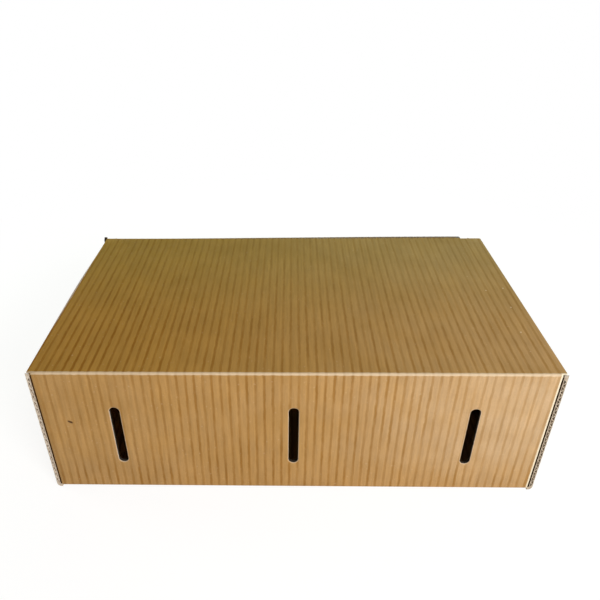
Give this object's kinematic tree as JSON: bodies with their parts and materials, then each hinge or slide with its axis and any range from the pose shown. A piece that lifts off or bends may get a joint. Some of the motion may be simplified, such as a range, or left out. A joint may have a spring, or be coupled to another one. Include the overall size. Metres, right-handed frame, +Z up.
{
  "type": "waxed produce box",
  "caption": "Closed corrugated produce box folded from die-cut board, with a hinged tuck-in lid, roll-over end walls and upright vent slots in its long walls.",
  "frame": {"origin": "middle of the underside, on the surface that the box stands on", "axes": "+Z up, +X along the long walls, -Y out of the wall that the lid is hinged to"},
  "size_m": [0.4772, 0.27, 0.148],
  "materials": {
    "waxed_board": "waxed kraft liner"
  },
  "bodies": {
    "tray": {"tray": "waxed_board"},
    "lid": {"lid": "waxed_board"}
  },
  "joints": [
    {"name": "lid_hinge", "type": "hinge", "parent": "tray", "child": "lid", "pos_m": [0, -0.135, 0.148], "axis": [1, 0, 0], "range_deg": [0, 120]}
  ]
}
